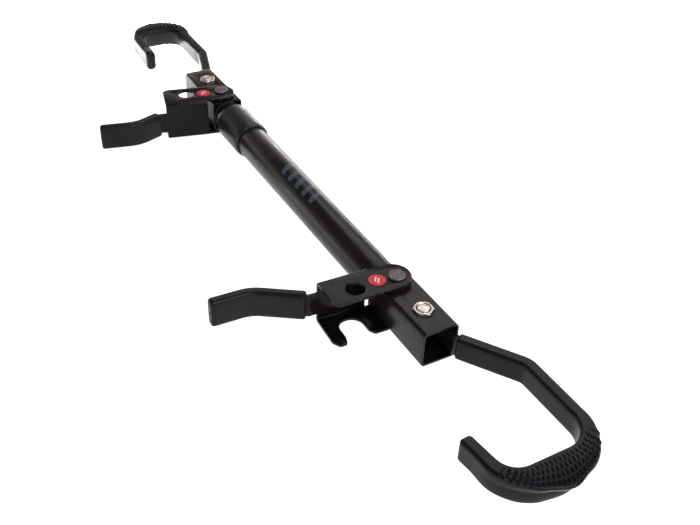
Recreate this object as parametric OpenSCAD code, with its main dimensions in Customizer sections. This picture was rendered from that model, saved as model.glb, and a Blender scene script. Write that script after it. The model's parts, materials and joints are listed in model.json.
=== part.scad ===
// Telescoping cross-bar adapter: a spring-drawn tube with a latched hook at each end,
// clipped across a bicycle frame so that a car rack can hold it like a top tube.
// X runs along the bar, with the wide hook at +X. The levers open towards -Y, and Z is up.
// The origin is on the tube's axis, halfway along the stretch that a rack's cradle holds.

/* [Tubes] */
// Outside diameter of the main tube
tube_od = 25.4; // [25.2:0.1:25.8]
// Wall thickness of both tubes
tube_wall = 1.4; // [1.3:0.1:1.5]
// Bare length of main tube between the wide-hook head and the collar
bare_tube = 205; // [190:5:260]
// Distance between the two lever pivots with the bar closed up
pivot_spacing = 279; // [277.5:0.5:281]
// Length of inner tube held inside the main tube with the bar closed up
inner_hold = 190; // [150:5:200]
// Outside diameter of the collar
collar_od = 29.2; // [28.6:0.1:29.4]

/* [Heads] */
// Outside width of the square head tubes
head_size = 25; // [24.8:0.1:25.2]
// Wall thickness of the head tubes
head_wall = 1.4; // [1.2:0.1:1.5]
// Length of a head from its pivot to its open end
head_front = 51; // [48:1:56]
// Length of a head from its pivot to the tube
head_back = 12; // [12:0.5:13]
// Distance from the pivot to the latch bolt
bolt_reach = 30.9; // [30.7:0.1:31.1]

/* [Levers] */
// Thickness of the lever sheet
sheet = 1.8; // [1.6:0.1:1.9]
// Distance from the pivot to the outer end of the lever's channel
channel_end = 47.5; // [46:0.5:50]
// Distance from the pivot to the end of the wide-hook lever's grip
near_grip_end = 111; // [104:1:112]
// Distance from the pivot to the end of the narrow-hook lever's grip
far_grip_end = 101; // [96:1:103]
// How far the wide-hook lever's grip is set out from the bar's axis
near_grip_set = 34; // [32:0.2:36]
// How far the narrow-hook lever's grip is set out from the bar's axis
far_grip_set = 27.6; // [26:0.2:30]
// Thickness of the lever's grip
grip_thick = 7.8; // [7:0.2:9]
// Angle of the wide-hook lever, where 0 is square to the bar and 90 is latched
near_lever_angle = -1.9; // [-3:0.1:20]
// Angle of the narrow-hook lever
far_lever_angle = 13.3; // [5:0.1:20]

/* [Hooks] */
// Height of the flat bar in the hooks
bar_high = 12.4; // [11:0.2:13]
// Thickness of the flat bar in the hooks
bar_thick = 5; // [4:0.5:5]
// Thickness of the rubber round the flat bar
rubber = 1.8; // [1.5:0.1:2]
// Width of the wide hook's grip pad across the middle of the bend
near_pad_wide = 21.5; // [19:0.5:22]
// Width of the narrow hook's grip pad across the middle of the bend
far_pad_wide = 25; // [22:0.5:25.5]
// Width of the rubber below the grip pad
heel_wide = 14.5; // [12:0.5:16]

/* [Hidden] */
$fn = 64;

run = 0.06;              // radial clearance of a running fit
cut = 1;                 // how far a cutting shape runs past a face

tube_r = tube_od / 2;
head_half = head_size / 2;
head_inner = head_half - head_wall;
head_round = 3;

// Places along the bar
near_pivot = bare_tube / 2 + head_back;
far_pivot = near_pivot - pivot_spacing;
collar_rim = -bare_tube / 2;
neck = 8.5;              // inner tube that shows between the far head and the collar
collar_tail = far_pivot + head_back + neck;
collar_lip = 7;
tube_tail = collar_tail + collar_lip;

// Tubes and the plug between them
spigot_r = head_inner - 0.1;
spigot_hold = 9.5;
swage = 2;
inner_r = head_inner - 0.2;
plug_flange = 6;
plug_r = tube_r - tube_wall - run;
plug_hold = 18;
plug_bore = 15;
inner_near = tube_tail + inner_hold;
crimp_at = collar_rim - 5.5;
crimp_wide = 4;

// Heights of the lever's plates above and below the axis
top_gap = 2.2;
low_gap = 0.4;
top_under = head_half + top_gap;
top_over = top_under + sheet;
low_over = -head_half - low_gap;
low_under = low_over - sheet;

// Lever outline: u runs out from the pivot and s towards the side that closes on the bar
pivot_end_r = 12;
pivot_end = -9.8;
plate_back = -13.7;
plate_front = plate_back + 2 * pivot_end_r;
channel_back = -16;
channel_start = 13.8;
hole_at = 29;
hole_d = 13;
slot_r = 7.8;
slot_foot = 0.5 - slot_r;
near_badge_at = [13.2, -1.6];
far_badge_at = [15, -1.4];
badge_d = 11;
badge_thick = 0.3;
arm_half = 8.2;
arm_line = channel_back + sheet / 2;
arm_bends = [0, 3, 12, 0];
near_arm_jog = [53, 84];
far_arm_jog = [53, 72];
arm_tip = 2;             // rubber past the end of the arm
grip_start = channel_end + 5;
grip_half = 10;
near_arm = arm_route(near_arm_jog, near_grip_set, near_grip_end);
far_arm = arm_route(far_arm_jog, far_grip_set, far_grip_end);

// Rivets, washers, bolts and nuts
rivet_r = 4;
rivet_head_r = 5.4;
rivet_head_high = 1.2;
washer_r = 9;
bolt_r = 4;
bolt_head_r = 7;
bolt_head_high = 4.2;
nut_flats = 13;
nut_high = 1.7;
stud_dome = 0.25;
near_nut_turn = 3;
far_nut_turn = 24;

// Hook routes measured from the pivot, with X out along the bar
hook_y = head_inner - bar_thick / 2 - 0.05;
hook_root = 22;
near_route = [[hook_root, hook_y], [55, hook_y], [91.8, 32.7], [156.4, 32.7],
              [156.4, -28.6], [121.6, -32.7]];
near_bends = [0, 6, 12, 21, 17, 0];
far_route = [[hook_root, hook_y], [52, hook_y], [97.4, 21.9], [161.6, 21.9],
             [161.6, -20.9], [111, -22.3]];
far_bends = [0, 6, 12, 17, 12, 0];
sleeve_bare = 1;         // bare bar left between the first bend and the rubber
sleeve_half = bar_thick / 2 + rubber;
sleeve_high = bar_high + 2 * 1.6;
tip_cap = 2;             // rubber past the end of the bar
pad_high = 8.2;          // top of the pad above the axis
pad_step = 4.2;          // height where the pad's side steps in
pad_step_in = 3.2;
pad_low = 0;             // underside of the pad's overhang
near_pad_bends = [34, 30];
far_pad_bends = [22, 27];
near_heel_bends = [27, 24];
far_heel_bends = [20, 20];
pad_reach = [26, 22];    // length of the pad along the straight arms from the bend's corners
arc_steps = 12;

// Spring drawn between the two rivets
spring_r = 6;
spring_wire = 2;
spring_turns = 62;

// ---- functions ----

function turned(a) = a > 180 ? turned(a - 360) : a <= -180 ? turned(a + 360) : a;
function run_angle(p, q) = atan2(q[1] - p[1], q[0] - p[0]);

// Stations [x, y, heading] along a route of straight runs joined by arcs
function stations(route, bends) = [
    for (i = [0 : len(route) - 1])
        let (
            first = i == 0,
            last = i == len(route) - 1,
            h_in = first ? run_angle(route[0], route[1]) : run_angle(route[i - 1], route[i]),
            h_out = last ? h_in : run_angle(route[i], route[i + 1]),
            bend = turned(h_out - h_in)
        )
        each (first || last || bends[i] == 0
            ? [[route[i][0], route[i][1], h_in]]
            : arc_stations(route[i], h_in, bend, bends[i]))
];

function arc_stations(corner, h_in, bend, r) =
    let (
        side = sign(bend),
        start = corner - r * tan(abs(bend) / 2) * [cos(h_in), sin(h_in)],
        centre = start + side * r * [-sin(h_in), cos(h_in)]
    )
    [for (k = [0 : arc_steps])
        let (h = h_in + bend * k / arc_steps)
        [centre[0] + side * r * sin(h), centre[1] - side * r * cos(h), h]];

// Outline of a strip that reaches left and right of its stations
function strip(st, left, right) = concat(
    [for (p = st) [p[0] - left * sin(p[2]), p[1] + left * cos(p[2])]],
    [for (i = [len(st) - 1 : -1 : 0])
        [st[i][0] + right * sin(st[i][2]), st[i][1] - right * cos(st[i][2])]]
);

// Outline through corners [x, y, radius]
function rounded(corners) = [
    for (i = [0 : len(corners) - 1])
        let (
            n = len(corners),
            p = [corners[i][0], corners[i][1]],
            a = corners[(i + n - 1) % n],
            b = corners[(i + 1) % n],
            h_in = atan2(p[1] - a[1], p[0] - a[0]),
            bend = turned(atan2(b[1] - p[1], b[0] - p[0]) - h_in)
        )
        each (corners[i][2] == 0
            ? [p]
            : [for (q = arc_stations(p, h_in, bend, corners[i][2])) [q[0], q[1]]])
];

// ---- shared shapes ----

module along_x(x) {
    translate([x, 0, 0]) rotate([0, 90, 0]) children();
}

module at_near_end() {
    translate([near_pivot, 0, 0]) children();
}

module at_far_end() {
    translate([far_pivot, 0, 0]) mirror([1, 0, 0]) children();
}

module near_lever_place() {
    at_near_end() rotate([0, 0, near_lever_angle - 90]) children();
}

module far_lever_place() {
    at_far_end() rotate([0, 0, far_lever_angle - 90]) children();
}

module prism(outline, low, high) {
    translate([0, 0, low]) linear_extrude(high - low) polygon(outline);
}

module square_outline(half, r) {
    polygon(rounded([[-half, -half, r], [half, -half, r], [half, half, r], [-half, half, r]]));
}

module head() {
    difference() {
        along_x(-head_back) linear_extrude(head_back + head_front) difference() {
            square_outline(head_half, head_round);
            square_outline(head_inner, head_round - head_wall);
        }
        cylinder(h = head_size + 2 * cut, r = rivet_r + 0.05, center = true);
        translate([bolt_reach, 0, 0]) cylinder(h = head_size + 2 * cut, r = bolt_r + 0.2, center = true);
    }
}

// Ring of weld between a tube that enters the head and the head's end face
module weld_ring(outline) {
    along_x(-head_back) rotate_extrude() polygon(outline);
}

// Two beads that hold the hook's bar to the head's side wall
module bar_welds() {
    for (side = [-1, 1])
        translate([hook_root + 4, 0, 0]) rotate([90, 0, 90]) linear_extrude(head_front - hook_root - 8)
            polygon([[head_inner, side * (bar_high / 2 + 0.02)], [head_inner, side * (bar_high / 2 + 1.8)],
                     [head_inner - 2.4, side * (bar_high / 2 + 0.02)]]);
}

module hook_bar(route, bends) {
    st = stations(route, bends);
    body = [for (i = [0 : len(st) - 1]) i < len(st) - 1 ? st[i] : short_end(st[i], tip_cap)];
    prism(strip(body, bar_thick / 2, bar_thick / 2), -bar_high / 2, bar_high / 2);
}

function short_end(p, back) = [p[0] - back * cos(p[2]), p[1] - back * sin(p[2]), p[2]];

// Bulge outside the bend: its inner line follows the bar and its outer line is a wider sweep
module bulge(route, wide, bends, low, high) {
    side = route[3][0];
    out = side - sleeve_half + wide;
    top = route[3][1];
    foot_angle = run_angle(route[4], route[5]);
    foot = route[4] + pad_reach[1] * [cos(foot_angle), sin(foot_angle)];
    foot_out = short_end([foot[0], foot[1], foot_angle + 90], -sleeve_half);
    drop = (out - foot_out[0]) * tan(foot_angle);
    prism(rounded([
        [side - pad_reach[0], top, 0], [side - pad_reach[0], top + sleeve_half, 0],
        [out, top + sleeve_half, bends[0]], [out, foot_out[1] + drop, bends[1]],
        [foot_out[0], foot_out[1], 0], [foot[0], foot[1], 0],
        [side, route[4][1], 8], [side, top, 12]
    ]), low, high);
}

// The rubber starts a little way along the flared run and covers the bar to its tip
module hook_sleeve(route, bends, pad_wide, pad_bends, heel_bends) {
    flare = run_angle(route[1], route[2]);
    start = short_end([route[1][0], route[1][1], flare], -sleeve_bare);
    st = stations(concat([[start[0], start[1]]], [for (i = [2 : len(route) - 1]) route[i]]),
                  concat([0], [for (i = [2 : len(bends) - 1]) bends[i]]));
    difference() {
        union() {
            prism(strip(st, sleeve_half, sleeve_half), -sleeve_high / 2, sleeve_high / 2);
            bulge(route, heel_wide, heel_bends, -sleeve_high / 2, pad_low);
            bulge(route, pad_wide, pad_bends, pad_low, pad_step);
            bulge(route, pad_wide - pad_step_in, pad_bends, pad_step, pad_high);
        }
        hook_bar(route, bends);
    }
}

module latch_bolt() {
    translate([bolt_reach, 0, 0]) {
        translate([0, 0, -head_half - 1]) cylinder(h = head_size + nut_high + 1, r = bolt_r);
        translate([0, 0, head_half + nut_high]) cylinder(h = stud_dome, r1 = bolt_r, r2 = bolt_r - 1.5);
        difference() {
            translate([0, 0, -head_half - bolt_head_high]) cylinder(h = bolt_head_high, r = bolt_head_r);
            translate([0, 0, -head_half - bolt_head_high - cut]) cylinder(h = 2 + cut, r = 2.9, $fn = 6);
        }
    }
}

module latch_nut(turn) {
    translate([bolt_reach, 0, head_half]) rotate([0, 0, turn]) difference() {
        cylinder(h = nut_high, r = nut_flats / 2 / cos(30), $fn = 6);
        translate([0, 0, -cut]) cylinder(h = nut_high + 2 * cut, r = bolt_r + 0.02);
    }
}

module pivot_rivet() {
    translate([0, 0, low_under - run]) cylinder(h = top_over - low_under + 2 * run, r = rivet_r);
    translate([0, 0, top_over + run]) cylinder(h = rivet_head_high, r = rivet_head_r);
    translate([0, 0, low_under - run - rivet_head_high]) cylinder(h = rivet_head_high, r = rivet_head_r);
}

module washer(low, high) {
    translate([0, 0, low]) difference() {
        cylinder(h = high - low, r = washer_r);
        translate([0, 0, -cut]) cylinder(h = high - low + 2 * cut, r = rivet_r + 0.05);
    }
}

module pivot_washers() {
    washer(head_half, top_under - run);
    washer(low_over + run, -head_half);
}

module top_plate() {
    prism(rounded([
        [pivot_end, plate_back, pivot_end_r - 0.01], [channel_start, plate_back, 0],
        [channel_start, channel_back + 3, 0], [channel_end, channel_back + 3, 0],
        [channel_end, plate_front, 5.5], [pivot_end, plate_front, pivot_end_r - 0.01]
    ]), top_under, top_over);
}

// The lower plate has the slot that closes round the bolt head
module low_plate() {
    prism(rounded([
        [pivot_end, plate_back, pivot_end_r - 0.01], [channel_start, plate_back, 0],
        [channel_start, channel_back + 3, 0], [channel_end, channel_back + 3, 0],
        [channel_end + 0.4, 8, 4], [44.8, 13.3, 2], [39.8, 13.3, 1.5],
        [bolt_reach - 0.3 + slot_r, 8, 2], [bolt_reach - 0.3 + slot_r, slot_foot, slot_r - 0.05],
        [bolt_reach - 0.3 - slot_r, slot_foot, slot_r - 0.05],
        [22, 7.5, 2], [19.5, 11.6, 2.5], [10, 11.6, 5], [6, plate_front, 3],
        [pivot_end, plate_front, pivot_end_r - 0.01]
    ]), low_under, low_over);
}

// The bent back of the channel, with its rounded folds
module channel_web() {
    fold = channel_back + 3.4;
    translate([channel_start, 0, 0]) rotate([90, 0, 90]) linear_extrude(channel_end - channel_start)
        polygon(rounded([
            [fold, top_over, 0], [channel_back, top_over, 2.4], [channel_back, low_under, 2.4],
            [fold, low_under, 0], [fold, low_over, 0], [channel_back + sheet, low_over, 0.7],
            [channel_back + sheet, top_under, 0.7], [fold, top_under, 0]
        ]));
}

function arm_route(jog, set, end) = [[channel_end - 2, arm_line], [jog[0], arm_line], [jog[1], -set],
                                     [end - arm_tip, -set]];

module arm(route) {
    prism(strip(stations(route, arm_bends), sheet / 2, sheet / 2), -arm_half, arm_half);
}

module lever_bracket(route) {
    difference() {
        union() {
            top_plate();
            low_plate();
            channel_web();
            arm(route);
        }
        cylinder(h = 4 * head_size, r = rivet_r + run, center = true);
        translate([hole_at, 0, head_half]) cylinder(h = head_size, d = hole_d);
    }
}

module lever_grip(route) {
    start = [grip_start, arm_line];
    tip = route[3] + [arm_tip, 0];
    difference() {
        prism(strip(stations([start, route[1], route[2], tip], arm_bends),
                    grip_thick / 2, grip_thick / 2), -grip_half, grip_half);
        arm(route);
    }
}

module lever_badge(at) {
    translate([at[0], at[1], top_over]) cylinder(h = badge_thick, d = badge_d);
}

// ---- parts of the main bar ----

module main_tube() {
    head_end = near_pivot - head_back;
    crimp_mid = crimp_at - crimp_wide / 2;
    color([0.09, 0.09, 0.09]) difference() {
        along_x(0) rotate_extrude() polygon([
            [tube_r, tube_tail], [tube_r, crimp_at - crimp_wide],
            [tube_r - 0.4, crimp_mid - 0.5], [tube_r - 0.4, crimp_mid + 0.5], [tube_r, crimp_at],
            [tube_r, head_end - swage], [spigot_r, head_end],
            [spigot_r, near_pivot + spigot_hold], [spigot_r - tube_wall, near_pivot + spigot_hold],
            [spigot_r - tube_wall, head_end], [tube_r - tube_wall, head_end - swage],
            [tube_r - tube_wall, crimp_at], [inner_r + run, crimp_mid + 0.5],
            [inner_r + run, crimp_mid - 0.5], [tube_r - tube_wall, crimp_at - crimp_wide],
            [tube_r - tube_wall, tube_tail]
        ]);
        at_near_end() cylinder(h = 3 * tube_od, r = rivet_r + 0.05, center = true);
    }
}

module near_head() {
    color([0.08, 0.08, 0.08]) at_near_end() head();
}

module near_weld() {
    color([0.08, 0.08, 0.08]) at_near_end() {
        weld_ring([[tube_r, -swage], [spigot_r + 0.05, -0.05],
                   [head_half - 0.4, -0.05], [tube_r - 0.2, -0.9]]);
        bar_welds();
    }
}

module near_hook_bar() {
    color([0.08, 0.08, 0.08]) at_near_end() hook_bar(near_route, near_bends);
}

module near_hook_sleeve() {
    color([0.1, 0.1, 0.12]) at_near_end()
        hook_sleeve(near_route, near_bends, near_pad_wide, near_pad_bends, near_heel_bends);
}

module near_latch_bolt() {
    color("silver") at_near_end() latch_bolt();
}

module near_latch_nut() {
    color("silver") at_near_end() latch_nut(near_nut_turn);
}

module near_pivot_rivet() {
    color([0.2, 0.17, 0.16]) at_near_end() pivot_rivet();
}

module near_pivot_washers() {
    color([0.08, 0.08, 0.08]) at_near_end() pivot_washers();
}

// Moulded end sleeve of the main tube, which also guides the inner tube
module collar() {
    collar_r = collar_od / 2;
    shoulder = 4.5;
    rim_long = 4.5;
    rim_step = 1.5;
    color([0.11, 0.11, 0.11]) along_x(0) rotate_extrude() polygon(concat(
        [[tube_r, collar_rim], [tube_r, tube_tail], [inner_r + run, tube_tail], [inner_r + run, collar_tail]],
        [for (k = [0 : 8])
            let (a = 90 * k / 8)
            [collar_r - shoulder + shoulder * sin(a), collar_tail + shoulder * (1 - cos(a))]],
        [for (k = [0 : 8])
            let (a = 90 * k / 8)
            [collar_r - rim_step * (1 - cos(a)), collar_rim - rim_long * (1 - sin(a))]]
    ));
}

// Close-wound extension spring: rings side by side stand for the coil, and a wire runs from
// each end of it to a loop over a pivot rivet
module tension_spring() {
    coil_start = (near_pivot + far_pivot) / 2 - spring_turns * spring_wire / 2;
    coil_end = coil_start + spring_turns * spring_wire;
    wire_r = spring_wire / 2;
    loop_r = rivet_r + wire_r + 0.3;
    color([0.55, 0.55, 0.56]) {
        along_x(coil_start) rotate_extrude() polygon(concat(
            [[spring_r - wire_r, 0]],
            [for (k = [0 : spring_turns - 1], p = [[0, 0.08], [wire_r, 0.5], [0, 0.92]])
                [spring_r + p[0], (k + p[1]) * spring_wire]],
            [[spring_r - wire_r, spring_turns * spring_wire]]
        ));
        for (end = [[coil_end, near_pivot], [coil_start, far_pivot]])
            let (way = sign(end[1] - end[0])) {
                translate([end[0] - way * spring_wire, spring_r - 0.3, 0]) rotate([0, 90 * way, 0])
                    cylinder(h = abs(end[1] - end[0]) - loop_r + spring_wire, r = wire_r - 0.1);
                translate([end[1], 0, 0]) rotate_extrude() translate([loop_r, 0]) circle(r = wire_r);
                translate([end[1] - way * loop_r, spring_r, 0]) rotate([90, 0, 0])
                    cylinder(h = spring_r - 0.5, r = wire_r - 0.05);
            }
    }
}

// ---- wide-hook lever ----

module near_lever_bracket() {
    color([0.08, 0.08, 0.08]) near_lever_place() lever_bracket(near_arm);
}

module near_lever_grip() {
    color([0.12, 0.12, 0.13]) near_lever_place() lever_grip(near_arm);
}

module near_badge() {
    color([0.75, 0.08, 0.12]) near_lever_place() lever_badge(near_badge_at);
}

// ---- sliding end ----

module inner_tube() {
    color([0.08, 0.08, 0.08]) difference() {
        along_x(0) rotate_extrude() polygon([
            [inner_r, inner_near], [inner_r, far_pivot - spigot_hold],
            [inner_r - tube_wall, far_pivot - spigot_hold], [inner_r - tube_wall, inner_near]
        ]);
        at_far_end() cylinder(h = 3 * tube_od, r = rivet_r + 0.05, center = true);
    }
}

// Moulded plug in the inner tube's end, whose flange rides in the main tube
module guide_bush() {
    color([0.25, 0.25, 0.25]) along_x(0) rotate_extrude() polygon([
        [plug_bore / 2, inner_near - plug_hold], [inner_r - tube_wall, inner_near - plug_hold],
        [inner_r - tube_wall, inner_near], [plug_r, inner_near], [plug_r, inner_near + plug_flange],
        [plug_bore / 2, inner_near + plug_flange]
    ]);
}

module far_head() {
    color([0.08, 0.08, 0.08]) at_far_end() head();
}

module far_weld() {
    color([0.08, 0.08, 0.08]) at_far_end() {
        weld_ring([[inner_r, -1.2], [inner_r, 0], [inner_r + 1.2, 0]]);
        bar_welds();
    }
}

module far_hook_bar() {
    color([0.08, 0.08, 0.08]) at_far_end() hook_bar(far_route, far_bends);
}

module far_hook_sleeve() {
    color([0.1, 0.1, 0.12]) at_far_end()
        hook_sleeve(far_route, far_bends, far_pad_wide, far_pad_bends, far_heel_bends);
}

module far_latch_bolt() {
    color("silver") at_far_end() latch_bolt();
}

module far_latch_nut() {
    color("silver") at_far_end() latch_nut(far_nut_turn);
}

module far_pivot_rivet() {
    color([0.2, 0.17, 0.16]) at_far_end() pivot_rivet();
}

module far_pivot_washers() {
    color([0.08, 0.08, 0.08]) at_far_end() pivot_washers();
}

// ---- narrow-hook lever ----

module far_lever_bracket() {
    color([0.08, 0.08, 0.08]) far_lever_place() lever_bracket(far_arm);
}

module far_lever_grip() {
    color([0.12, 0.12, 0.13]) far_lever_place() lever_grip(far_arm);
}

module far_badge() {
    color([0.75, 0.08, 0.12]) far_lever_place() lever_badge(far_badge_at);
}

main_tube();
near_head();
near_weld();
near_hook_bar();
near_hook_sleeve();
near_latch_bolt();
near_latch_nut();
near_pivot_rivet();
near_pivot_washers();
collar();
tension_spring();
near_lever_bracket();
near_lever_grip();
near_badge();
inner_tube();
guide_bush();
far_head();
far_weld();
far_hook_bar();
far_hook_sleeve();
far_latch_bolt();
far_latch_nut();
far_pivot_rivet();
far_pivot_washers();
far_lever_bracket();
far_lever_grip();
far_badge();
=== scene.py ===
"""Looks for the telescoping cross-bar adapter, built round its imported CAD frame.

Lengths are millimetres while a mesh is being made, and metres in materials and on the stage.
"""

import json
import math

import bmesh
import bpy
from mathutils import Matrix, Vector


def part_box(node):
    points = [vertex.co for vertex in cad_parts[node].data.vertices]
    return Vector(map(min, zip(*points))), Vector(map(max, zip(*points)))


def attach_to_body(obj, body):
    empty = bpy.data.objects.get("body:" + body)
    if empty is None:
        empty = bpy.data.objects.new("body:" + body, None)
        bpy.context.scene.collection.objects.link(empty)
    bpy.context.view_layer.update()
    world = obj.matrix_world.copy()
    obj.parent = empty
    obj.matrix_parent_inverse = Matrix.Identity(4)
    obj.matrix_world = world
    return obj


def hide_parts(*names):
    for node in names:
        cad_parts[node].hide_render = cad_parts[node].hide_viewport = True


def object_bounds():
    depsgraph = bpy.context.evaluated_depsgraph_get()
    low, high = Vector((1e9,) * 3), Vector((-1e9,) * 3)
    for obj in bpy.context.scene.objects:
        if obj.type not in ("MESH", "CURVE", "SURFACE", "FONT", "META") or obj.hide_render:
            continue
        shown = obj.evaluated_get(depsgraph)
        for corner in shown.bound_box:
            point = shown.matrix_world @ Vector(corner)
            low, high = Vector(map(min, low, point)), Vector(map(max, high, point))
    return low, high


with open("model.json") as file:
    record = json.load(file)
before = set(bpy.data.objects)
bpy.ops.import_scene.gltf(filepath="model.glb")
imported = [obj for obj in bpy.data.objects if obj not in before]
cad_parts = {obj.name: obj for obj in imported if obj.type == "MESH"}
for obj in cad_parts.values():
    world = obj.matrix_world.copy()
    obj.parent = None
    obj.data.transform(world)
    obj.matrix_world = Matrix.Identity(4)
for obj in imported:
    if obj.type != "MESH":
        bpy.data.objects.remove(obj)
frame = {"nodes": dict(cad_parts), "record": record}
CAD_BOX = [list(corner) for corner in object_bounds()]
NODES = frame["nodes"]
BODY_OF = {n: b for b, ns in frame["record"]["behaviour"]["bodies"].items() for n in ns}
MM = 0.001

# ---------------------------------------------------------------- mesh tools

MERGE_DISTANCE = 2e-6  # metres: vertices of a CAD mesh closer than this are one
FLAT_DEG = 0.6  # faces of a CAD mesh that meet flatter than this are one
BEVEL_DEG = 30.0  # edges of a CAD mesh sharper than this are rounded
SOFT_SHARP_DEG = 32.0  # and edges still sharper than this shade as sharp
MOULDED_SHARP_DEG = 60.0  # the same for moulded rubber
NUT_SHARP_DEG = 25.0  # and for the nuts


def link_object(name, mesh):
    obj = bpy.data.objects.new(name, mesh)
    bpy.context.scene.collection.objects.link(obj)
    return obj


def make_object(name, bm, sharp_deg=38.0):
    """A mesh object from a bmesh in millimetres, smooth but for edges sharper than sharp_deg."""
    bmesh.ops.recalc_face_normals(bm, faces=bm.faces)
    bmesh.ops.scale(bm, vec=(MM, MM, MM), verts=bm.verts)
    mesh = bpy.data.meshes.new(name)
    bm.to_mesh(mesh)
    bm.free()
    mesh.shade_smooth()
    mesh.set_sharp_from_angle(angle=math.radians(sharp_deg))
    return link_object(name, mesh)


def add_rings(bm, rings, around=False):
    """Quads between closed rings of points: around joins the last ring to the first, or both are capped."""
    made = [[bm.verts.new(p) for p in ring] for ring in rings]
    pairs = list(zip(made, made[1:]))
    if around:
        pairs.append((made[-1], made[0]))
    count = len(made[0])
    for a, b in pairs:
        for i in range(count):
            j = (i + 1) % count
            bm.faces.new((a[i], a[j], b[j], b[i]))
    if not around:
        bm.faces.new(made[0])
        bm.faces.new(made[-1])


def circle(count):
    """The angles of count points round a circle."""
    return [2 * math.pi * k / count for k in range(count)]


def attach(obj, node, mat):
    """obj is on a CAD node's piece and rides with it."""
    obj.data.materials.clear()
    obj.data.materials.append(mat)
    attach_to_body(obj, BODY_OF[node])


def place(obj, node, mat):
    """obj stands for a CAD node and rides with it."""
    attach(obj, node, mat)
    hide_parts(node)


def softened(node, mat, width, segments):
    """A copy of a CAD node whose sharp edges are rounded to a small radius, standing for the node."""
    bm = bmesh.new()
    bm.from_mesh(NODES[node].data)
    bmesh.ops.remove_doubles(bm, verts=bm.verts, dist=MERGE_DISTANCE)
    bmesh.ops.dissolve_limit(bm, angle_limit=math.radians(FLAT_DEG), verts=bm.verts, edges=bm.edges)
    mesh = bpy.data.meshes.new(node + "_soft")
    bm.to_mesh(mesh)
    bm.free()
    obj = link_object(node + "_soft", mesh)
    bevel = obj.modifiers.new("edges", "BEVEL")
    bevel.width = width * MM
    bevel.segments = segments
    bevel.limit_method = "ANGLE"
    bevel.angle_limit = math.radians(BEVEL_DEG)
    bevel.use_clamp_overlap = True
    bpy.context.view_layer.update()
    depsgraph = bpy.context.evaluated_depsgraph_get()
    rounded = bpy.data.meshes.new_from_object(obj.evaluated_get(depsgraph))
    obj.modifiers.clear()
    obj.data = rounded
    rounded.shade_smooth()
    rounded.set_sharp_from_angle(angle=math.radians(SOFT_SHARP_DEG))
    place(obj, node, mat)


def centre_of(node):
    low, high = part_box(node)
    return (low + high) / 2 / MM


def pivot_of(node):
    """The middle of the pivot rivet at the same end of the bar as a node."""
    return centre_of(node.split("_")[0] + "_pivot_rivet")


def outward(node):
    """The direction along X from the bar's middle to a node's end: 1 near, -1 far."""
    return 1 if node.startswith("near") else -1


# ---------------------------------------------------------------- materials

DUST = (0.12, 0.105, 0.10)
# lighter colour for the coat's edges: partly wear, partly a painted edge highlight
WORN_COAT_AND_EDGE_SHEEN = (0.22, 0.20, 0.185)
RUBBER_SPECK = (0.09, 0.085, 0.085)
BLUE_GREY_INK = (0.040, 0.056, 0.075)
STICKER_RED = (0.60, 0.012, 0.028)
STICKER_DEEP_RED = (0.44, 0.006, 0.018)
STICKER_PALE = (0.80, 0.62, 0.58)
RIVET_DARK = (0.034, 0.024, 0.021)
RIVET_BROWN = (0.085, 0.064, 0.058)
RIVET_BARE = (0.55, 0.50, 0.46)


def scaled(colour, by, add=0.0):
    return tuple(c * by + add for c in colour)


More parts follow.
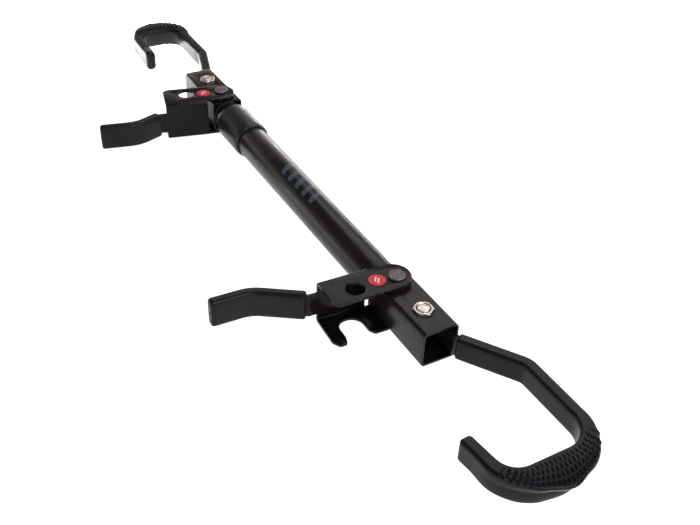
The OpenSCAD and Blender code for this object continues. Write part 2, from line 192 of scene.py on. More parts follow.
class Shader:
    """A Principled material with short names for the nodes that its textures use."""

    def __init__(self, name, base, rough, metallic=0.0, ior=1.5, coat=0.0, coat_rough=0.1, level=0.5):
        self.mat = bpy.data.materials.new(name)
        self.mat.use_nodes = True
        self.tree = self.mat.node_tree
        self.out = self.tree.nodes["Principled BSDF"]
        for socket, value in (
            ("Base Color", (*base, 1)),
            ("Roughness", rough),
            ("Metallic", metallic),
            ("IOR", ior),
            ("Specular IOR Level", level),
            ("Coat Weight", coat),
            ("Coat Roughness", coat_rough),
        ):
            self.out.inputs[socket].default_value = value
        self.point = self.tree.nodes.new("ShaderNodeTexCoord").outputs["Object"]

    def node(self, kind, **settings):
        made = self.tree.nodes.new(kind)
        for key, value in settings.items():
            setattr(made, key, value)
        return made

    def link(self, a, b):
        self.tree.links.new(a, b)

    def axes(self, vector):
        """A vector's X, Y and Z"""
        split = self.node("ShaderNodeSeparateXYZ")
        self.link(vector, split.inputs["Vector"])
        return split.outputs["X"], split.outputs["Y"], split.outputs["Z"]

    def stretched(self, scale):
        mapping = self.node("ShaderNodeMapping")
        self.link(self.point, mapping.inputs["Vector"])
        mapping.inputs["Scale"].default_value = scale
        return mapping.outputs["Vector"]

    def noise(self, scale, detail=4.0, rough=0.55, stretch=None):
        n = self.node("ShaderNodeTexNoise")
        self.link(self.stretched(stretch) if stretch else self.point, n.inputs["Vector"])
        n.inputs["Scale"].default_value = scale
        n.inputs["Detail"].default_value = detail
        n.inputs["Roughness"].default_value = rough
        return n.outputs["Fac"]

    def fit(self, value, low, high, to_low=0.0, to_high=1.0):
        """value from low to high becomes to_low to to_high, eased at both ends"""
        m = self.node("ShaderNodeMapRange", interpolation_type="SMOOTHSTEP")
        self.link(value, m.inputs["Value"])
        m.inputs["From Min"].default_value = low
        m.inputs["From Max"].default_value = high
        m.inputs["To Min"].default_value = to_low
        m.inputs["To Max"].default_value = to_high
        return m.outputs["Result"]

    def math(self, how, a, b=None):
        m = self.node("ShaderNodeMath", operation=how)
        for socket, value in zip(m.inputs, (a, b)):
            if value is None:
                continue
            if isinstance(value, (int, float)):
                socket.default_value = value
            else:
                self.link(value, socket)
        return m.outputs["Value"]

    def times(self, a, b):
        return self.math("MULTIPLY", a, b)

    def distance(self, a, b):
        """The size of a less b"""
        return self.math("ABSOLUTE", self.math("SUBTRACT", a, b))

    def mix(self, share, a, b):
        m = self.node("ShaderNodeMix", data_type="RGBA")
        for name, value in (("A", a), ("B", b)):
            socket = next(s for s in m.inputs if s.name == name and s.type == "RGBA")
            if isinstance(value, tuple):
                socket.default_value = (*value, 1)
            else:
                self.link(value, socket)
        self.link(share, m.inputs["Factor"])
        return next(s for s in m.outputs if s.type == "RGBA")

    def colour(self, value):
        self.link(value, self.out.inputs["Base Color"])

    def roughness(self, value):
        self.link(value, self.out.inputs["Roughness"])

    def bump(self, *layers):
        """layers are (height 0 to 1, depth in metres)"""
        normal = None
        for height, depth in layers:
            b = self.node("ShaderNodeBump")
            b.inputs["Strength"].default_value = 1.0
            b.inputs["Distance"].default_value = depth
            self.link(height, b.inputs["Height"])
            if normal:
                self.link(normal, b.inputs["Normal"])
            normal = b.outputs["Normal"]
        self.link(normal, self.out.inputs["Normal"])

    def edges(self, radius=0.0006):
        """0 on faces and towards 1 on convex and concave edges"""
        bevel = self.node("ShaderNodeBevel", samples=4)
        bevel.inputs["Radius"].default_value = radius
        geometry = self.node("ShaderNodeNewGeometry")
        dot = self.node("ShaderNodeVectorMath", operation="DOT_PRODUCT")
        self.link(bevel.outputs["Normal"], dot.inputs[0])
        self.link(geometry.outputs["Normal"], dot.inputs[1])
        return self.fit(dot.outputs["Value"], 0.985, 0.80)


def powder_coat(name, base=(0.0062, 0.0047, 0.0042), rough=0.27, edge_wear_and_sheen=0.5, ior=1.28):
    """Satin black powder coat: orange peel, faint patches, dust, and a lighter colour on edges that is partly
    worn coat and partly a painted highlight along the edges
    """
    s = Shader(name, base, rough, ior=ior)
    patches = s.fit(s.noise(26, 3), 0.35, 0.7)
    dust = s.fit(s.noise(1700, 2), 0.70, 0.80)
    tone = s.mix(patches, scaled(base, 0.75), scaled(base, 1.45))
    tone = s.mix(s.times(dust, 0.16), tone, DUST)
    if edge_wear_and_sheen:
        # edges are painted lighter, partly as wear and partly as a painted highlight along them
        worn = s.times(s.edges(), s.fit(s.noise(320, 4), 0.50, 0.66))
        tone = s.mix(s.times(worn, edge_wear_and_sheen), tone, WORN_COAT_AND_EDGE_SHEEN)
    s.colour(tone)
    s.roughness(s.fit(s.noise(90, 5), 0.3, 0.75, rough * 0.82, rough * 1.25))
    s.bump((s.noise(520, 3, 0.5), 0.000026), (s.noise(2600, 2, 0.5), 0.000006))
    return s


def rubber(name, base, rough):
    """Moulded rubber: fine grain, slight bloom in broad patches and pale specks"""
    s = Shader(name, base, rough, ior=1.24)
    bloom = s.fit(s.noise(38, 4), 0.38, 0.72)
    tone = s.mix(bloom, base, scaled(base, 1.6, 0.0008))
    specks = s.fit(s.noise(1500, 2), 0.72, 0.80)
    tone = s.mix(s.times(specks, 0.07), tone, RUBBER_SPECK)
    s.colour(tone)
    s.roughness(s.fit(s.noise(70, 4), 0.3, 0.75, rough * 0.88, rough * 1.15))
    s.bump((s.noise(900, 3), 0.00002), (s.noise(3800, 2), 0.000006))
    return s


def moulded_plastic(name, base, rough):
    """Plain moulded plastic with faint flow marks"""
    s = Shader(name, base, rough, ior=1.36)
    s.colour(s.mix(s.fit(s.noise(50, 3), 0.35, 0.7), base, scaled(base, 1.5)))
    s.roughness(s.fit(s.noise(200, 3), 0.3, 0.7, rough * 0.85, rough * 1.2))
    s.bump((s.noise(1200, 3), 0.00002))
    return s


def plated_steel(name, base, rough, dark):
    """Zinc-plated steel: mottled, with fine drawn lines and dull spots"""
    s = Shader(name, base, rough, metallic=1.0)
    mottle = s.fit(s.noise(420, 4), 0.35, 0.68)
    s.colour(s.mix(mottle, dark, base))
    s.roughness(s.fit(s.noise(800, 4), 0.3, 0.7, rough * 0.8, rough * 1.3))
    s.bump((s.noise(900, 4, stretch=(1, 1, 9)), 0.00002))
    return s


def marked_coat(name, tube_r, start, pitch, count, half_high, turn):
    """Powder coat with a generic printed mark: slanted blue-grey bars round one side of the tube.

    start and pitch are metres along the tube, half_high is half the bars' length round it, and turn is
    the mark's middle angle about X.
    """
    soft_edge = 0.0002
    s = powder_coat(name, edge_wear_and_sheen=0)
    tone = s.out.inputs["Base Color"].links[0].from_socket
    x, y, z = s.axes(s.point)
    around = s.times(s.math("SUBTRACT", s.math("ARCTAN2", y, z), turn), tube_r)
    slanted = s.math("ADD", s.math("SUBTRACT", x, start), s.times(around, 0.45))
    cell = s.math("FRACT", s.math("DIVIDE", slanted, pitch))
    bar = s.fit(s.distance(cell, 0.5), 0.24, 0.21)
    after_first = s.fit(slanted, 0.0, soft_edge)
    before_last = s.fit(slanted, pitch * count, pitch * count - soft_edge)
    high = s.fit(s.math("ABSOLUTE", around), half_high + soft_edge, half_high)
    share = s.times(s.times(bar, s.times(after_first, before_last)), high)
    worn = s.fit(s.noise(700, 4), 0.30, 0.42, 0.55, 0.95)
    s.colour(s.mix(s.times(share, worn), tone, BLUE_GREY_INK))
    return s


def sticker(name, centre, turn):
    """Satin red sticker with a pale, plain generic glyph of two slanted dashes"""
    s = Shader(name, (0.60, 0.012, 0.03), 0.34, ior=1.28, coat=0.08, coat_rough=0.12)
    shift = s.node("ShaderNodeMapping", vector_type="TEXTURE")
    s.link(s.point, shift.inputs["Vector"])
    shift.inputs["Location"].default_value = tuple(c * MM for c in centre)
    shift.inputs["Rotation"].default_value = (0, 0, turn)
    x, y, _ = s.axes(shift.outputs["Vector"])
    slanted = s.math("ADD", x, s.times(y, 0.5))
    dash = s.fit(s.distance(s.math("ABSOLUTE", slanted), 0.0011), 0.00062, 0.00046)
    glyph = s.times(dash, s.fit(s.math("ABSOLUTE", y), 0.0023, 0.0021))
    red = s.mix(s.fit(s.noise(500, 3), 0.3, 0.7), STICKER_DEEP_RED, STICKER_RED)
    s.colour(s.mix(s.times(glyph, 0.9), red, STICKER_PALE))
    s.bump((s.noise(700, 3), 0.00001))
    return s


def rivet_paint(name):
    """Dark painted rivet whose rim is worn to bare metal in places"""
    s = Shader(name, (0.05, 0.036, 0.032), 0.38)
    tone = s.mix(s.fit(s.noise(600, 4), 0.35, 0.7), RIVET_DARK, RIVET_BROWN)
    worn = s.times(s.edges(0.0011), s.fit(s.noise(210, 3), 0.40, 0.50))
    s.colour(s.mix(worn, tone, RIVET_BARE))
    s.link(worn, s.out.inputs["Metallic"])
    s.bump((s.noise(900, 4), 0.00005))
    return s


COAT = powder_coat("black_powder_coat").mat
PLATE_COAT = powder_coat("black_plate_coat", (0.0050, 0.0038, 0.0035), rough=0.20, edge_wear_and_sheen=0.8, ior=1.22).mat
TUBE_COAT = marked_coat(
    "black_tube_coat", tube_r=0.0127, start=-0.0425, pitch=0.0108, count=5, half_high=0.0066, turn=-0.06
).mat
HOOK_RUBBER = rubber("hook_rubber", (0.0040, 0.0040, 0.0060), 0.30).mat
GRIP_RUBBER = rubber("grip_rubber", (0.0052, 0.0046, 0.0058), 0.34).mat
COLLAR_PLASTIC = moulded_plastic("collar_plastic", (0.0055, 0.0055, 0.0058), 0.34).mat
BUSH_PLASTIC = moulded_plastic("bush_plastic", (0.09, 0.09, 0.09), 0.45).mat
ZINC = plated_steel("zinc_plate", (0.60, 0.57, 0.54), 0.34, (0.38, 0.34, 0.30)).mat
SPRING_STEEL = plated_steel("spring_steel", (0.42, 0.42, 0.43), 0.33, (0.22, 0.21, 0.20)).mat
RIVET = rivet_paint("rivet_paint").mat

# ---------------------------------------------------------------- sweeps

CORNER_SHARE = 0.48  # the most of an edge that the curve at either of its corners takes up
CORNER_EASE = 0.55  # handles this far towards a square corner make its curve nearly circular
END_STEPS = 6  # stations round a sweep's rounded end
LEAST_GAP = 0.02  # between two stations


class Path:
    """A flat route of straight runs joined by arcs, read by distance along it.

    marks holds where each arc starts and ends.
    """

    def __init__(self, corners, bends):
        self.parts = []
        self.marks = []
        self.length = 0.0
        here = Vector(corners[0])
        for i in range(1, len(corners)):
            corner = Vector(corners[i])
            way = (corner - Vector(corners[i - 1])).normalized()
            if i == len(corners) - 1 or bends[i] == 0:
                self._line(here, corner)
                here = corner
                continue
            onward = (Vector(corners[i + 1]) - corner).normalized()
            turn = math.atan2(way.x * onward.y - way.y * onward.x, way.dot(onward))
            reach = bends[i] * math.tan(abs(turn) / 2)
            start = corner - way * reach
            self._line(here, start)
            side = math.copysign(1, turn)
            centre = start + side * bends[i] * Vector((-way.y, way.x))
            heading = math.atan2(way.y, way.x)
            long = bends[i] * abs(turn)
            self.parts.append(("arc", self.length, long, centre, heading, side, bends[i]))
            self.marks.append((self.length, self.length + long))
            self.length += long
            here = corner + onward * reach

    def _line(self, a, b):
        long = (b - a).length
        if long > 1e-6:
            heading = math.atan2((b - a).y, (b - a).x)
            self.parts.append(("line", self.length, long, a, heading, 0, 0))
            self.length += long

    def at(self, s):
        """x, y and heading at a distance along the route"""
        for part in self.parts:
            if s <= part[1] + part[2] + 1e-9 or part is self.parts[-1]:
                break
        kind, start, _, p, heading, side, radius = part
        d = s - start
        if kind == "line":
            return p.x + d * math.cos(heading), p.y + d * math.sin(heading), heading
        h = heading + side * d / radius
        return p.x + side * radius * math.sin(h), p.y - side * radius * math.cos(h), h


def smooth_table(keys, s):
    """Catmull-Rom through keys of (distance, values)."""
    if s <= keys[0][0]:
        return keys[0][1]
    if s >= keys[-1][0]:
        return keys[-1][1]
    i = next(k for k in range(len(keys) - 1) if keys[k][0] <= s <= keys[k + 1][0])
    (s0, a), (s1, b) = keys[i], keys[i + 1]
    before = keys[i - 1] if i else keys[i]
    after = keys[i + 2] if i + 2 < len(keys) else keys[i + 1]
    span = s1 - s0
    t = (s - s0) / span
    t2, t3 = t * t, t * t * t
    weights = (2 * t3 - 3 * t2 + 1, t3 - 2 * t2 + t, 3 * t2 - 2 * t3, t3 - t2)
    out = []
    for va, vb, vp, vn in zip(a, b, before[1], after[1]):
        m0 = (vb - vp) / (s1 - before[0]) * span
        m1 = (vn - va) / (after[0] - s0) * span
        out.append(sum(w * v for w, v in zip(weights, (va, m0, vb, m1))))
    return tuple(out)


def smoothstep(a, b, x):
    t = min(1.0, max(0.0, (x - a) / (b - a)))
    return t * t * (3 - 2 * t)


def soft_loop(corners, curve_points, edge_points):
    """A closed loop through corners (n, z, reach), each corner eased by a curve of its own reach.

    Returns the points and, for each, which corner or edge it belongs to. curve_points and edge_points
    are how many points each corner's curve and each edge's inside get.
    """
    points, tags = [], []
    for i, (x, z, reach) in enumerate(corners):
        x1, z1, next_reach = corners[(i + 1) % len(corners)]
        p, p1 = Vector((x, z)), Vector((x1, z1))
        to_last, to_next = Vector(corners[i - 1][:2]) - p, p1 - p
        start = p + to_last.normalized() * min(reach, to_last.length * CORNER_SHARE)
        end = p + to_next.normalized() * min(reach, to_next.length * CORNER_SHARE)
        h0, h1 = start.lerp(p, CORNER_EASE), end.lerp(p, CORNER_EASE)
        for j in range(curve_points[i]):
            t = j / (curve_points[i] - 1)
            u = 1 - t
            points.append(u**3 * start + 3 * u * u * t * h0 + 3 * u * t * t * h1 + t**3 * end)
            tags.append(("corner", i))
        stop = p1 + (p - p1).normalized() * min(next_reach, (p - p1).length * CORNER_SHARE)
        for j in range(1, edge_points[i] + 1):
            points.append(end.lerp(stop, j / (edge_points[i] + 1)))
            tags.append(("edge", i))
    return points, tags


def end_inset(s, length, radius_start, radius_end):
    """How far a section draws in near the ends of a sweep, so that the ends are rounded."""
    inset = 0.0
    for d, r in ((s, radius_start), (length - s, radius_end)):
        if d < r:
            inset = max(inset, r - math.sqrt(max(0.0, r * r - (r - d) ** 2)))
    return inset


def stations_for(length, radius_start, radius_end, step, fine=()):
    """Distances along a sweep: close together at rounded ends and inside the fine (from, to, step) ranges."""
    round_shares = [1 - math.cos(math.pi / 2 * k / END_STEPS) for k in range(END_STEPS + 1)]
    values = [radius_start * share for share in round_shares]
    values += [length - radius_end * share for share in round_shares]
    s = radius_start
    while s < length - radius_end:
        values.append(s)
        s += next((f[2] for f in fine if f[0] <= s < f[1]), step)
    values.sort()
    kept = [values[0]]
    for v in values[1:]:
        if v - kept[-1] > LEAST_GAP:
            kept.append(v)
    return kept


# ---------------------------------------------------------------- hook sleeves

HALF_THICK = 4.3
HALF_HIGH = 7.8
CORNER_REACH = 2.5
SLEEVE_STEP = 1.4  # between stations along the plain rubber
SLEEVE_BARE = 1.0  # bar left bare before the rubber starts
SLEEVE_ROUND = 1.8  # radius of the sleeve's first end
TIP_SWELL_FROM = 16  # distances from the tip over which the section swells towards it
TIP_SWELL_TO = 3
PAD_FROM = 5.5  # the rim's reach at which the section starts to be a pad
PAD_FULL = 12.0  # and at which it wholly is one
CROWN = 0.9  # how far the pad's top swells up
RIB_HEIGHT = 0.85
RIB_PITCH = 2.75
RIB_ROWS = 4
RIB_SLANT = math.radians(-12)
RIB_STEP = 0.33  # between stations along the ribs
RIB_HALF = 0.25  # half a rib's width at its foot, as a share of the pitch
RIBBED_SHARE = 0.86  # of the way across the top and its outer corner
RIB_END = 0.12  # of a row's width, over which its ribs rise at either side
RIB_FADE = 5.0  # along the path, over which the ribs rise at either end
TOP_POINTS = 56


def bend_marks(path):
    """Named distances along a hook's route, through its two wide bends and just before and after them."""
    first, second = path.marks[1], path.marks[2]
    long = second[1] - second[0]
    return {
        "before": first[0] - 7,
        "bend1": first[0],
        "bend1_mid": (first[0] + first[1]) / 2,
        "bend1_end": first[1],
        "middle": (first[1] + second[0]) / 2,
        "bend2": second[0],
        "bend2_third": second[0] + 0.33 * long,
        "bend2_mid": second[0] + 0.58 * long,
        "bend2_end": second[1],
        "after": second[1] + 8,
    }


def sleeve_section(values, inset, tip):
    """The rubber's section as a loop of (outwards, up) points, their tags, and how far it is a pad, 0 to 1.

    values are the rim's reach and top height, the reach and height of its lower edge, the depth of the
    recess below it and the heel's reach. tip is how far the section swells towards the hook's tip.
    """
    rim, rim_high, low, low_high, recess, heel = values
    rim, low, recess, heel = (v - inset for v in (rim, low, recess, heel))
    a, b = HALF_THICK - inset + 0.2 * tip, HALF_HIGH - inset + tip
    reach = max(0.5, CORNER_REACH + 1.6 * tip - inset)
    swell = smoothstep(PAD_FROM, PAD_FULL, rim)
    loop, tags = soft_loop(
        [
            (-a, -b, reach),
            (-a, b + 0.4 * swell, reach),
            (rim + 0.2 * tip, min(rim_high + tip, b + 0.4), reach - 0.5 * swell),
            (low, low_high, 1.4),
            (recess, low_high - 1.2, 1.2),
            (heel, -3.0, 2.0),
            (heel - 0.6 * swell, -b, reach),
        ],
        [7, 7, 16, 6, 6, 6, 8],
        [4, TOP_POINTS, 4, 3, 3, 4, 5],
    )
    return loop, tags, swell


def shares_across_top(loop, tags):
    """For each point of the top and its outer corner, how far across from the inner edge it is, 0 to 1."""
    top = [i for i, tag in enumerate(tags) if tag in (("edge", 1), ("corner", 2))]
    run, at = 0.0, {top[0]: 0.0}
    for i, j in zip(top, top[1:]):
        run += (loop[j] - loop[i]).length
        at[j] = run
    return {i: d / run for i, d in at.items()}


def rib_lift(x, y, share):
    """How far the pattern of slanted ribs, staggered by half a pitch row by row, stands up, 0 to 1."""
    across = min(0.999, share / RIBBED_SHARE) * RIB_ROWS
    row = min(RIB_ROWS - 1, int(across))
    v = across - row
    along = (-x * math.sin(RIB_SLANT) + y * math.cos(RIB_SLANT)) / RIB_PITCH + 0.5 * (row % 2)
    off = abs(along - math.floor(along) - 0.5)
    ridge = max(0.0, 1 - off / RIB_HALF)
    return ridge * smoothstep(0.0, RIB_END, v) * smoothstep(0.0, RIB_END, 1 - v)


def hook_sleeve(node, corners, bends, profile, ribs_from, ribs_to, tip_round, tip_swell):
    """Rubber over the bent bar, swelling into a ribbed pad with a recessed heel round the bends.

    profile gives sleeve_section's values at the marks along the route. ribs_from and ribs_to are each a mark
    and how far past it the ribs start or end.
    """
    first_run = (Vector(corners[1]) - Vector(corners[0])).normalized()
    path = Path([Vector(corners[0]) + first_run * SLEEVE_BARE] + corners[1:], bends)
    marks = bend_marks(path)
    keys = sorted((marks[name], values) for name, values in profile.items())
    fine_from = marks[ribs_from[0]] + ribs_from[1]
    fine_to = marks[ribs_to[0]] + ribs_to[1]
    pivot, way = pivot_of(node), outward(node)
    rings = []
    fine = [(fine_from, fine_to, RIB_STEP)]
    for s in stations_for(path.length, SLEEVE_ROUND, tip_round, SLEEVE_STEP, fine):
        x, y, heading = path.at(s)
        nx, ny = -math.sin(heading), math.cos(heading)
        inset = end_inset(s, path.length, SLEEVE_ROUND, tip_round)
        tip = tip_swell * smoothstep(path.length - TIP_SWELL_FROM, path.length - TIP_SWELL_TO, s)
        loop, tags, swell = sleeve_section(smooth_table(keys, s), inset, tip)
        top = shares_across_top(loop, tags)
        ribbed = smoothstep(fine_from, fine_from + RIB_FADE, s)
        ribbed *= 1 - smoothstep(fine_to - RIB_FADE, fine_to, s)
        ring = []
        for i, (n, z) in enumerate(loop):
            if i in top:
                z += CROWN * swell * math.sin(math.pi * min(1.0, top[i] * 1.05)) * (1 - 0.3 * top[i])
                # the loop runs clockwise seen along the path, so its outward normal is (-y, x)
                tangent = (loop[(i + 1) % len(loop)] - loop[i - 1]).normalized()
                lift = RIB_HEIGHT * ribbed * rib_lift(x + nx * n, y + ny * n, top[i])
                n -= tangent.y * lift
                z += tangent.x * lift
            ring.append((pivot.x + way * (x + nx * n), y + ny * n, z))
        rings.append(ring)
    bm = bmesh.new()
    add_rings(bm, rings)
    place(make_object(node + "_moulded", bm, MOULDED_SHARP_DEG), node, HOOK_RUBBER)


PLAIN = (HALF_THICK, HALF_HIGH, HALF_THICK, 2.5, HALF_THICK, HALF_THICK)

hook_sleeve(
    "near_hook_sleeve",
    [(55, 8.55), (91.8, 32.7), (156.4, 32.7), (156.4, -28.6), (121.6, -32.7)],
    [0, 12, 21, 17, 0],
    {
        "before": PLAIN,
        "bend1": PLAIN,
        "bend1_mid": (6.6, 7.7, 6.4, 2.4, 5.6, 6.0),
        "bend1_end": (13.8, 6.9, 12.0, 1.9, 8.6, 9.6),
        "middle": (18.0, 6.3, 15.0, 1.6, 10.6, 12.0),
        "bend2": (13.6, 6.6, 11.6, 2.4, 9.4, 10.6),
        "bend2_third": (8.6, 7.2, 8.0, 3.2, 7.2, 8.0),
        "bend2_mid": (6.2, 7.6, 6.2, 3.2, 5.9, 6.2),
        "bend2_end": (4.9, 7.8, 5.0, 2.8, 4.9, 5.1),
        "after": PLAIN,
    },
    ribs_from=("bend1_mid", -6.0),
    ribs_to=("bend2_mid", 5.0),
    tip_round=2.6,
    tip_swell=0.0,
)
hook_sleeve(
    "far_hook_sleeve",
    [(52, 8.55), (97.4, 21.9), (161.6, 21.9), (161.6, -20.9), (111, -22.3)],
    [0, 12, 17, 12, 0],
    {
        "before": PLAIN,
        "bend1": (5.2, 7.8, 4.9, 2.5, 4.6, 4.7),
        "bend1_mid": (11.6, 7.4, 9.8, 2.2, 7.2, 8.0),
        "bend1_end": (18.6, 6.8, 15.4, 1.8, 10.2, 11.2),
        "middle": (19.6, 6.6, 16.2, 1.6, 10.8, 12.2),
        "bend2": (15.4, 6.9, 12.8, 2.2, 9.6, 10.6),
        "bend2_third": (8.6, 7.4, 7.8, 2.8, 6.6, 7.4),
        "bend2_mid": (5.0, 7.7, 5.0, 3.0, 4.8, 5.2),
        "bend2_end": (4.3, 7.8, 4.3, 2.6, 4.3, 4.6),
        "after": PLAIN,
    },
    ribs_from=("bend1_mid", -4.0),
    ribs_to=("bend2_mid", 3.0),
    tip_round=3.6,
    tip_swell=1.0,
)

# ---------------------------------------------------------------- lever grips

OPEN_DEG = {"near": -1.9, "far": 13.3}  # each lever's turn from square to the bar at rest
GRIP_STEP = 1.5  # between stations along a grip
GRIP_START = (54.5, -16.0)
GRIP_BEND = 24
GRIP_HALF_THICK = 3.9
GRIP_HALF_HIGH = 10.0
GRIP_CORNER = 3.0
GRIP_ENDS = (1.5, 2.2)  # radii of the start's and the end's rounding
PIP_FROM_END = 16


def lever_frame(node):
    """A function from the lever's own (u, s, z), u outwards along it from its pivot, to the row frame."""
    pivot, way = pivot_of(node), outward(node)
    angle = math.radians(OPEN_DEG[node.split("_")[0]])

    def to_row(u, s, z):
        x = u * math.sin(angle) + s * math.cos(angle)
        y = -u * math.cos(angle) + s * math.sin(angle)
        return (pivot.x + way * x, y, z)

    return to_row


def grip(node, jog, set_out, end):
    """Rubber grip over the lever's arm: a rounded bar that steps outwards once"""
    to_row = lever_frame(node)
    path = Path([GRIP_START, (jog, -set_out), (end, -set_out)], [0, GRIP_BEND, 0])
    rings = []
    for s in stations_for(path.length, *GRIP_ENDS, GRIP_STEP):
        u, v, heading = path.at(s)
        inset = end_inset(s, path.length, *GRIP_ENDS)
        a, b = GRIP_HALF_THICK - inset, GRIP_HALF_HIGH - inset
        reach = max(0.4, GRIP_CORNER - inset)
        corners = [(-a, -b, reach), (-a, b, reach), (a, b, reach), (a, -b, reach)]
        loop, _ = soft_loop(corners, [7, 7, 7, 7], [4, 2, 4, 2])
        rings.append([to_row(u - math.sin(heading) * n, v + math.cos(heading) * n, z) for n, z in loop])
    bm = bmesh.new()
    add_rings(bm, rings)
    place(make_object(node + "_moulded", bm, MOULDED_SHARP_DEG), node, GRIP_RUBBER)


def grip_pips(node, set_out, end):
    """Small moulding marks: one on the grip's outer face near its end and one on the end itself"""
    to_row = lever_frame(node)
    bm = bmesh.new()
    for on_end in (False, True):
        rings = []
        for r, out in ((0.9, -0.3), (0.9, 0.12), (0.6, 0.26), (0.2, 0.3)):
            ring = []
            for a in circle(20):
                p, q = r * math.cos(a), r * math.sin(a)
                if on_end:
                    ring.append(to_row(end + out, -set_out + p, q))
                else:
                    ring.append(to_row(end - PIP_FROM_END + p, -set_out - GRIP_HALF_THICK - out, q))
            rings.append(ring)
        add_rings(bm, rings)
    attach(make_object(node + "_pips", bm), node, GRIP_RUBBER)


GRIPS = (("near_lever_grip", 84, 34.0, 111), ("far_lever_grip", 72, 27.6, 101))
for node, jog, set_out, end in GRIPS:
    grip(node, jog, set_out, end)
for node, _, set_out, end in GRIPS:
    grip_pips(node, set_out, end)

# ---------------------------------------------------------------- nuts

NUT_ACROSS = 11.8
NUT_BORE = 4.35
NUT_COUNTERSINK = (0.6, 0.7)  # how far the thread's mouth widens, and how deep it goes
NUT_CORNER = 0.12
NUT_FACE = 0.96  # of the width across the flats is flat on top; the corners slope down outside it
NUT_SLOPE = 0.5


def hex_nut(node, turn_deg):
    """Thin hexagon nut with its corners chamfered to a ring, and a countersunk thread"""
    low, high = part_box(node)
    middle, base, top = centre_of(node), low.z / MM, high.z / MM
    flat = NUT_ACROSS / 2 * NUT_FACE
    wider, deep = NUT_COUNTERSINK
    rings = []
    for a in circle(96):
        from_flat = (a * outward(node) - math.radians(turn_deg)) % (math.pi / 3) - math.pi / 6
        edge = NUT_ACROSS / 2 / math.cos(from_flat)
        drop = (edge - flat) * NUT_SLOPE
        profile = [
            (NUT_BORE, base),
            (NUT_BORE, top - deep),
            (NUT_BORE + wider, top),
            (flat, top),
            ((flat + edge) / 2, top - drop * 0.35),
            (edge - NUT_CORNER, top - drop),
            (edge, top - drop - NUT_CORNER),
            (edge, base),
        ]
        rings.append([(middle.x + r * math.cos(a), middle.y + r * math.sin(a), z) for r, z in profile])
    bm = bmesh.new()
    add_rings(bm, rings, around=True)
    place(make_object(node + "_chamfered", bm, NUT_SHARP_DEG), node, ZINC)


hex_nut("near_latch_nut", 3)
hex_nut("far_latch_nut", 24)

# ---------------------------------------------------------------- stickers

STICKER_EDGE = 0.15
STICKER_DOME = 0.12
STICKER_UNDERCUT = 0.05


def badge_disc(node, turn):
    """A red disc with a rounded rim and a slightly domed top, its glyph turned by turn radians"""
    low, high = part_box(node)
    middle, base, top = centre_of(node), low.z / MM, high.z / MM
    radius = (high.x - low.x) / 2 / MM
    steps = 6
    profile = [(radius - STICKER_UNDERCUT, base)]
    for k in range(steps + 1):
        a = math.pi / 2 * k / steps
        profile.append((radius - STICKER_EDGE * (1 - math.cos(a)), top - STICKER_EDGE * (1 - math.sin(a))))
    for k in range(1, steps):
        t = k / steps
        profile.append(((radius - STICKER_EDGE) * (1 - t), top + STICKER_DOME * math.sin(math.pi / 2 * t)))
    rings = []
    for r, z in profile:
        rings.append([(middle.x + r * math.cos(a), middle.y + r * math.sin(a), z) for a in circle(64)])
    bm = bmesh.new()
    add_rings(bm, rings)
    red = sticker(node + "_red", (middle.x, middle.y, top), turn).mat
    place(make_object(node + "_sticker", bm), node, red)


badge_disc("near_badge", 0.5)
badge_disc("far_badge", -0.2)

# ---------------------------------------------------------------- welds

RING_BEAD_OUT = 0.5  # from the head's end to the middle of the bead round the tube
RING_BEAD_HALF = (1.15, 0.85)  # half its width outwards from the tube and along it
RING_BEAD_SUNK = 0.3  # its middle lies this far inside the tube's surface
HOOK_BEAD_FROM = 26  # the beads on the hook's bar start this far from the pivot
HOOK_BEAD_LONG = 21
HOOK_BEAD_R = 1.25
HOOK_BEAD_RIPPLES = 9
HOOK_BEAD_Y = 10.4
HOOK_BEAD_Z = 6.6


def ring_bead(bm, at_x, tube_r):
    """A rippled bead round the tube where the head ends"""
    half_out, half_long = RING_BEAD_HALF
    rings = []
    for a in circle(180):
        wave = 0.16 * math.cos(30 * a) + 0.07 * math.cos(7 * a + 1)
        ring = []
        for t in circle(12):
            r = tube_r - RING_BEAD_SUNK + half_out * math.cos(t) + 0.5 * wave
            x = at_x + half_long * math.sin(t) + 0.6 * wave
            ring.append((x, r * math.cos(a), r * math.sin(a)))
        rings.append(ring)
    add_rings(bm, rings, around=True)


def straight_bead(bm, start_x, long, y, z):
    """A rippled bead along X that tapers at both ends"""
    steps = 59
    rings = []
    for k in range(steps + 1):
        t = k / steps
        wave = 1 + 0.14 * math.cos(2 * math.pi * HOOK_BEAD_RIPPLES * t)
        taper = min(1.0, math.sqrt(max(0.004, math.sin(math.pi * t))) * 1.25)
        size = HOOK_BEAD_R * wave * taper
        x = start_x + long * t
        rings.append([(x, y + size * 0.9 * math.cos(a), z + size * math.sin(a)) for a in circle(12)])
    add_rings(bm, rings)


def weld(node, at_x, tube_r):
    """The bead round the tube, and two along the top and bottom of the hook's bar inside the head"""
    bm = bmesh.new()
    ring_bead(bm, at_x, tube_r)
    pivot, way = pivot_of(node), outward(node)
    for side in (-1, 1):
        start_x = pivot.x + way * HOOK_BEAD_FROM
        straight_bead(bm, start_x, way * HOOK_BEAD_LONG, HOOK_BEAD_Y, side * HOOK_BEAD_Z)
    place(make_object(node + "_bead", bm), node, COAT)


weld("near_weld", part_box("near_head")[0].x / MM - RING_BEAD_OUT, 12.1)
weld("far_weld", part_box("far_head")[1].x / MM + RING_BEAD_OUT, 11.2)

# ---------------------------------------------------------------- softened CAD pieces

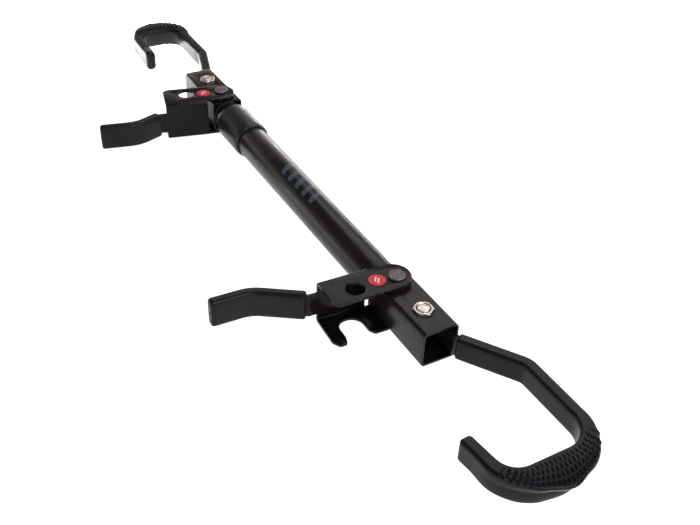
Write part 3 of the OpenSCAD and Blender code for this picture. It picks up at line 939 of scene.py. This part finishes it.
# nodes, material, radius of their edges and segments across it
for nodes, mat, width, segments in (
    (("near_head", "far_head"), COAT, 0.30, 3),
    (("near_lever_bracket", "far_lever_bracket"), PLATE_COAT, 0.28, 3),
    (("near_hook_bar", "far_hook_bar"), COAT, 0.45, 3),
    (("near_pivot_washers", "far_pivot_washers"), COAT, 0.15, 2),
    (("near_latch_bolt", "far_latch_bolt"), ZINC, 0.35, 3),
    (("near_pivot_rivet", "far_pivot_rivet"), RIVET, 0.45, 3),
    (("collar",), COLLAR_PLASTIC, 0.25, 3),
    (("main_tube",), TUBE_COAT, 0.2, 3),
    (("inner_tube",), COAT, 0.2, 3),
    (("guide_bush",), BUSH_PLASTIC, 0.2, 3),
    (("tension_spring",), SPRING_STEEL, 0.05, 1),
):
    for node in nodes:
        softened(node, mat, width, segments)

# ---------------------------------------------------------------- stage, light, camera

FLOOR_GAP = 0.0006  # between the floor and the part's lowest point
FLOOR_SIZE = 6.0
FLOOR_GLOW = 1.0
FLOOR_BACK = 7.0  # glow of the floor past the far hook, which lights its inner faces
FLOOR_BACK_X = (-0.21, -0.40)  # where the glow starts to rise, and where it is full
STUDIO_TINT = (1.0, 0.93, 0.89)
HORIZON = 1.6
CEILING = 0.16
HORIZON_UP_TO = 0.12  # heights of the view's direction where the horizon's light ends
CEILING_FROM = 0.42  # and the ceiling's begins

CAMERA_AT = Vector((0.48487, -0.25335, 0.36368))
CAMERA_DEG = (59.38, 37.06, 2.51)  # azimuth, elevation and roll
CAMERA_LENS = 47.06


def stage_floor():
    bm = bmesh.new()
    bmesh.ops.create_grid(bm, x_segments=24, y_segments=24, size=FLOOR_SIZE)
    mesh = bpy.data.meshes.new("floor")
    bm.to_mesh(mesh)
    bm.free()
    floor = link_object("floor", mesh)
    floor.location.z = min(corner[2] for corner in CAD_BOX) - FLOOR_GAP
    s = Shader("floor_white", (0.45, 0.45, 0.45), 0.9, level=0.0)
    s.out.inputs["Emission Color"].default_value = (1, 1, 1, 1)
    x, _, _ = s.axes(s.point)
    s.link(s.fit(x, *FLOOR_BACK_X, FLOOR_GLOW, FLOOR_BACK), s.out.inputs["Emission Strength"])
    mesh.materials.append(s.mat)


def soft_light(name, place_at, size, watts):
    """A rectangular light that faces the origin"""
    data = bpy.data.lights.new(name, "AREA")
    data.shape = "RECTANGLE"
    data.size, data.size_y = size
    data.energy = watts
    obj = link_object(name, data)
    obj.location = place_at
    obj.rotation_mode = "QUATERNION"
    obj.rotation_quaternion = (-Vector(place_at)).to_track_quat("-Z", "Y")


def set_world():
    """Soft light from all round, bright near the horizon and dim overhead"""
    world = bpy.data.worlds.new("studio")
    world.use_nodes = True
    tree = world.node_tree
    background = tree.nodes["Background"]
    background.inputs["Color"].default_value = (*STUDIO_TINT, 1)
    way = tree.nodes.new("ShaderNodeTexCoord")
    split = tree.nodes.new("ShaderNodeSeparateXYZ")
    level = tree.nodes.new("ShaderNodeMapRange")
    level.interpolation_type = "SMOOTHSTEP"
    level.inputs["From Min"].default_value = HORIZON_UP_TO
    level.inputs["From Max"].default_value = CEILING_FROM
    level.inputs["To Min"].default_value = HORIZON
    level.inputs["To Max"].default_value = CEILING
    tree.links.new(way.outputs["Generated"], split.inputs["Vector"])
    tree.links.new(split.outputs["Z"], level.inputs["Value"])
    tree.links.new(level.outputs["Result"], background.inputs["Strength"])
    bpy.context.scene.world = world


def set_camera():
    azimuth, elevation, roll = (math.radians(v) for v in CAMERA_DEG)
    back = Vector((
        math.sin(azimuth) * math.cos(elevation),
        -math.cos(azimuth) * math.cos(elevation),
        math.sin(elevation),
    ))
    level = Vector((math.cos(azimuth), math.sin(azimuth), 0))
    upright = back.cross(level)
    right = level * math.cos(roll) + upright * math.sin(roll)
    up = -level * math.sin(roll) + upright * math.cos(roll)
    data = bpy.data.cameras.new("camera")
    data.sensor_width = 36.0
    data.lens = CAMERA_LENS
    data.clip_start = 0.01
    camera = link_object("camera", data)
    camera.matrix_world = Matrix((
        (right.x, up.x, back.x, CAMERA_AT.x),
        (right.y, up.y, back.y, CAMERA_AT.y),
        (right.z, up.z, back.z, CAMERA_AT.z),
        (0, 0, 0, 1),
    ))
    bpy.context.scene.camera = camera


stage_floor()
set_world()
soft_light("key_softbox", (0.95, 0.25, 1.0), (1.1, 0.9), 14)
soft_light("back_softbox", (-0.6, 0.6, 1.1), (1.2, 1.0), 8)
set_camera()
bpy.context.scene.view_settings.view_transform = "Standard"
